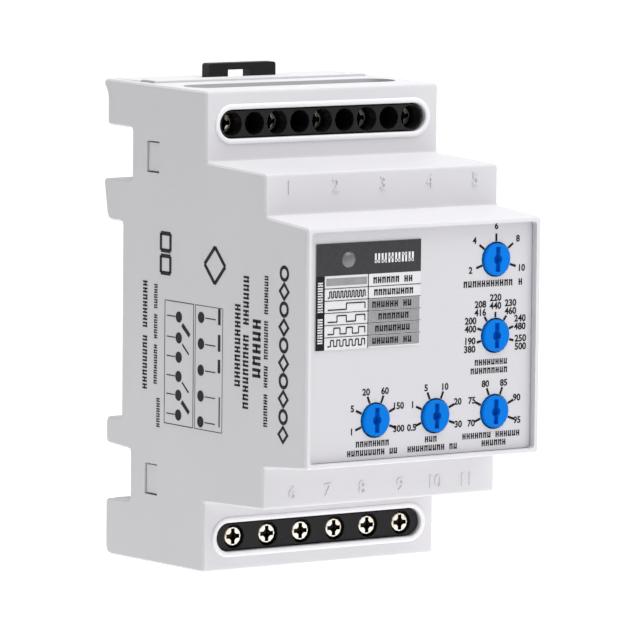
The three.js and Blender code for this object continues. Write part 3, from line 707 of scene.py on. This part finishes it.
bow = np.linspace(0, np.pi / 2, 9)
lens_front, lens_back = lens_low[1], lens_high[1]
lens_radius, dome, chamfered_radius = 1.45, 0.35, 1.2
lens_radii = np.concatenate([lens_radius * np.sin(bow), [lens_radius, lens_radius, chamfered_radius, 0]])
barrel = [lens_front + 1, lens_back - 0.2, lens_back, lens_back]
lens_depths = np.concatenate([lens_front + dome * (1 - np.cos(bow)), barrel])
lens = turned("domed_lens", (lens_x, lens_z), lens_radii, lens_depths)
belongs(lens, "casing", "lens", None, "status_lens")
print("lens at", round(lens_x, 2), round(lens_z, 2))

# %% [markdown]
# ## Print on the side
# The side carries a wiring diagram: a column of dots for each row of terminals, contact arms between
# them, and lines of print set upright. An image could hold it, but strokes stay sharp from any distance.
# Their depth comes from the housing's own box, so they lie on the outer wall.

# %% Wiring diagram and upright print
side_face = ("side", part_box("front_housing")[0][0] / MM - 0.005)
right_dots = [(-26.8, v) for v in (2.8, -2.1, -7.0, -11.8, -16.6)]
left_dots = [(-19.4, v) for v in (2.2, -1.7, -5.3, -8.9, -12.4, -16.1)]
dot_marks = discs("diagram_dots", right_dots + left_dots, 1.05, side_face)
belongs(dot_marks, "casing", "housing", black_ink)


def stroke(u0, v0, u1, v1, width):
    """A bar from one point to another: its middle, half its length, half its width and its slope."""
    length = math.hypot(u1 - u0, v1 - v0)
    return [(u0 + u1) / 2, (v0 + v1) / 2, length / 2, width / 2, math.atan2(v1 - v0, u1 - u0)]


def frame_of(u0, u1, v0, v1, width):
    """Four strokes round a box."""
    return [stroke(u0, v0, u1, v0, width), stroke(u1, v0, u1, v1, width),
            stroke(u1, v1, u0, v1, width), stroke(u0, v1, u0, v0, width)]


arms = [stroke(-20.5, v, -23.0, v - 1.9, 0.85) for v in (0.9, -13.5)]
thin_arms = [stroke(-20.6, v, -22.8, v - 1.7, 0.35) for v in (-2.8, -9.9)]
diagram_edge = frame_of(-14.7, -24.3, 5.0, -18.0, 0.16) + frame_of(-24.9, -33.9, 5.0, -18.0, 0.12)
bars_beside = [stroke(-32.8, a, -32.8, b, 0.8) for a, b in ((4.9, 1.9), (0.1, -3.0), (-4.5, -7.0))]
bars_beside += [stroke(-33.0, -11.4, -33.0, -17.0, 0.35)]
leads = [stroke(-28.2, v, -31.6, v, 0.2) for _, v in right_dots]
leads += [stroke(-15.4, v, -18.2, v, 0.2) for _, v in left_dots]
diagram = arms + thin_arms + diagram_edge + bars_beside + leads
belongs(bars("diagram_lines", diagram, side_face), "casing", "housing", black_ink)

heavy = 0.75
diamond_u, diamond_v, diamond_reach = -31.2, 12.8, 3.4
quarter = np.arange(5) * np.pi / 2
tip_u, tip_v = diamond_u + diamond_reach * np.cos(quarter), diamond_v + diamond_reach * np.sin(quarter)
diamond = [stroke(*ends, heavy) for ends in zip(tip_u[:-1], tip_v[:-1], tip_u[1:], tip_v[1:])]
squares = frame_of(-13.2, -16.4, 14.2, 17.4, heavy) + frame_of(-13.2, -16.4, 10.0, 13.2, heavy)
belongs(bars("plain_marks", diamond + squares, side_face), "casing", "housing", black_ink)

columns = [  # where across, from where to where up and down, size
    (-8.0, 8.2, -12.9, 1.5), (-11.6, 7.8, -12.0, 1.1), (-12.6, -13.5, -19.9, 1.1),
    (-38.8, 6.5, -10.4, 1.8), (-41.5, 11.9, -14.1, 1.8), (-45.0, 4.3, -7.6, 2.6),
    (-48.0, 12.4, -15.9, 1.2),
]
upright_print = [words(u, (v0 + v1) / 2, abs(v1 - v0), size, upright=True) for u, v0, v1, size in columns]
belongs(bars("side_print", np.concatenate(upright_print), side_face), "casing", "housing", black_ink)
edge_column, heights = -53.7, np.linspace(13.2, -16.2, 10)
rings = discs("plain_rings", [(edge_column, v) for v in heights[0::2]], 1.5, side_face, inner=0.85)
belongs(rings, "casing", "housing", black_ink)
lozenge_places = [(edge_column, v) for v in heights[1::2]]
lozenges = discs("plain_lozenges", lozenge_places, 1.8, side_face, inner=1.0, sides=4)
belongs(lozenges, "casing", "housing", black_ink)
print("side strokes", sum(map(len, upright_print)))

# %% [markdown]
# ## What only a screwdriver finds
# Inside, the control board carries small chips and resistors between its trimmers, every trimmer stands
# on three solder pads, and the contacts' pins end in cones of solder behind the main board. On the back,
# the ejector pins of the mould have left round marks. Boxes, cones and rings are enough, because only
# their outlines are ever seen.

# %% Solder, chips and ejector marks
board_low, board_high = (np.array(c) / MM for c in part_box("control_board"))
chip_face = ("front", board_low[1] - 0.01)
chips = [  # across, up, half length, half width, no turn
    (-14.5, 9.5, 3.0, 2.0, 0), (-14.5, 2.5, 2.4, 1.6, 0), (-2.0, 8.0, 2.6, 2.6, 0), (5.5, 2.0, 2.0, 1.3, 0),
]
belongs(bars("board_chips", chips, chip_face, 1.1), "casing", "black_plastic")
small_places = zip(np.tile(np.linspace(-19, 7, 7), 2), np.repeat([-4.6, 14.6], 7))
small = [(x, z, 0.8, 0.4, np.pi / 2 * k) for k, (x, z) in enumerate(small_places)]
belongs(bars("board_resistors", small, chip_face, 0.45), "casing", "black_plastic")
ends = [(x + side * 0.65, z, 0.17, 0.42, 0) for x, z, _, _, turn in small[0::2] for side in (-1, 1)]
belongs(bars("resistor_ends", ends, chip_face, 0.47), "casing", "zinc_steel")
legs = [(x + side * 2.3, z + side * 0.2, 0.25, 0.9, 0) for x, _, z in dial.values() for side in (-1, 0, 1)]
leg_face = ("back", board_high[1] + 0.01)
belongs(bars("trimmer_legs", legs, leg_face, 0.5), "casing", "zinc_steel")


def cones(name, places, radius, tall, start, levels=7, sides=16):
    """Solder: the radius falls as 0.25 + 0.75 (1 - t)^2 over the height t, so each cone is hollow-sided."""
    t = np.linspace(0, 1, levels)
    angle = np.linspace(0, 2 * np.pi, sides, endpoint=False)
    spread = radius * (0.25 + 0.75 * (1 - t) ** 2)
    one = np.stack([spread[:, None] * np.cos(angle), np.broadcast_to(tall * t[:, None], (levels, sides)),
                    spread[:, None] * np.sin(angle)], -1).reshape(-1, 3)
    centre = np.array([[x, start, z] for x, z in places])
    first = levels * sides * np.arange(len(places))
    faces = [grid_faces(levels, sides, False, True) + k for k in first]
    caps = [[k + i + end for i in range(sides)] for k in first for end in (0, (levels - 1) * sides)]
    return new_piece(name, (centre[:, None] + one[None]).reshape(-1, 3) * MM,
                     np.concatenate(faces).tolist() + caps)


pins = [(np.array(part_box(n)[0]) + np.array(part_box(n)[1])) / 2 / MM
        for n in frame["nodes"] if "_contact_" in n]
pin_z = {"upper": 33.8, "lower": -33.8}
main_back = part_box("main_board")[1][1] / MM
joints_at = [(c[0], pin_z["upper" if c[2] > 0 else "lower"]) for c in pins]
belongs(cones("solder_cones", joints_at, 1.15, 1.0, main_back + 0.01), "casing", "zinc_steel")
seat = ("back", 0.005)
pin_places = [(x, z) for x in (-20, 20) for z in (-9, 9)]
ejector_marks = discs("ejector_marks", pin_places, 2.2, seat, thick=0.08, inner=1.95, sides=32)
belongs(ejector_marks, "casing", "housing")
print("chips", len(chips), "resistors", len(small), "solder joints", len(joints_at))

# %% [markdown]
# ## Studio
# Small goods look best through a long lens from well back, where parallel edges stay nearly parallel. One
# soft box hangs above and one stands in front to the right. A grey card on the left takes light away from
# that side, so that the three visible faces of the housing part into three tones.

# %% Camera
azimuth, rise, roll = np.radians([-34.95, 5.93, 0.57])
distance, shift_sideways, shift_upward = 1.189, -0.00141, 0.00126
aim = np.array([0, -0.030, 0])
back = np.array([np.sin(azimuth) * np.cos(rise), -np.cos(azimuth) * np.cos(rise), np.sin(rise)])
level = np.array([np.cos(azimuth), np.sin(azimuth), 0.0])
up = np.cross(back, level)
sideways = np.cos(roll) * level + np.sin(roll) * up
upward = -np.sin(roll) * level + np.cos(roll) * up
eye = aim + back * distance + sideways * shift_sideways + upward * shift_upward
matrix = np.eye(4)
matrix[:3, 0], matrix[:3, 1], matrix[:3, 2], matrix[:3, 3] = sideways, upward, back, eye
lens_data = bpy.data.cameras.new("long_lens")
lens_data.sensor_width = 36
lens_data.lens = 358.6
lens_data.clip_end = 50
camera = bpy.data.objects.new("long_lens", lens_data)
camera.matrix_world = Matrix(matrix.tolist())
bpy.context.scene.collection.objects.link(camera)
bpy.context.scene.camera = camera
print("camera at", np.round(eye, 3).tolist())

# %% Lights
def soft_box(name, place, target, size, watts):
    """An area light of the size given, in metres, turned so that its face looks at the target."""
    data = bpy.data.lights.new(name, "AREA")
    data.shape = "SQUARE"
    data.size = size
    data.energy = watts
    light = bpy.data.objects.new(name, data)
    light.location = place
    light.rotation_euler = (Vector(target) - Vector(place)).to_track_quat("-Z", "Y").to_euler()
    bpy.context.scene.collection.objects.link(light)
    return light


middle = (0, -0.03, 0)
lights = [soft_box("top_box", (0.1, -0.25, 1.0), middle, 0.9, 11.5),
          soft_box("front_box", (0.55, -1.0, 0.6), middle, 0.7, 3.4)]
print("watts", [light.data.energy for light in lights])

# %% Floor and surroundings
world = bpy.data.worlds.new("studio")
world.use_nodes = True
background = world.node_tree.nodes["Background"]
background.inputs["Color"].default_value = (1, 1, 1, 1)
background.inputs["Strength"].default_value = 0.34
bpy.context.scene.world = world
bpy.context.scene.view_settings.view_transform = "Standard"

floor_z, bend_starts, bend_radius = -0.16, 2.2, 1.2
along = np.linspace(-6, 6, 3)
profile_turn = np.linspace(0, np.pi / 2, 17)
wall_y = bend_starts + bend_radius
profile_y = np.concatenate([[-8], bend_starts + bend_radius * np.sin(profile_turn), [wall_y]])
profile_z = np.concatenate([[floor_z], floor_z + bend_radius * (1 - np.cos(profile_turn)), [7]])
sweep_points = np.stack([np.broadcast_to(along[:, None], (3, len(profile_y))),
                         np.broadcast_to(profile_y, (3, len(profile_y))),
                         np.broadcast_to(profile_z, (3, len(profile_y)))], -1).reshape(-1, 3)
floor = new_piece("pale_floor", sweep_points, grid_faces(3, len(profile_y), False, False))
paper = Recipe("floor_paper")
paper.dress(Base_Color=paper.mix((0.93, 0.93, 0.93), (0.97, 0.97, 0.97), paper.noise(4)), Roughness=0.8,
            Emission_Color=(1.0, 1.0, 1.0), Emission_Strength=0.47)
floor.data.materials.append(paper.material)
card_points = np.array([[-0.42, y, z] for y in (-0.3, 0.0, 0.3) for z in (-0.155, 0.1, 0.35)])
card = new_piece("grey_card", card_points, grid_faces(3, 3, False, False))
felt = Recipe("grey_felt")
felt.dress(Base_Color=felt.mix((0.16, 0.16, 0.16), (0.2, 0.2, 0.2), felt.noise(60)), Roughness=0.9)
card.data.materials.append(felt.material)
print("floor width", np.ptp(along))
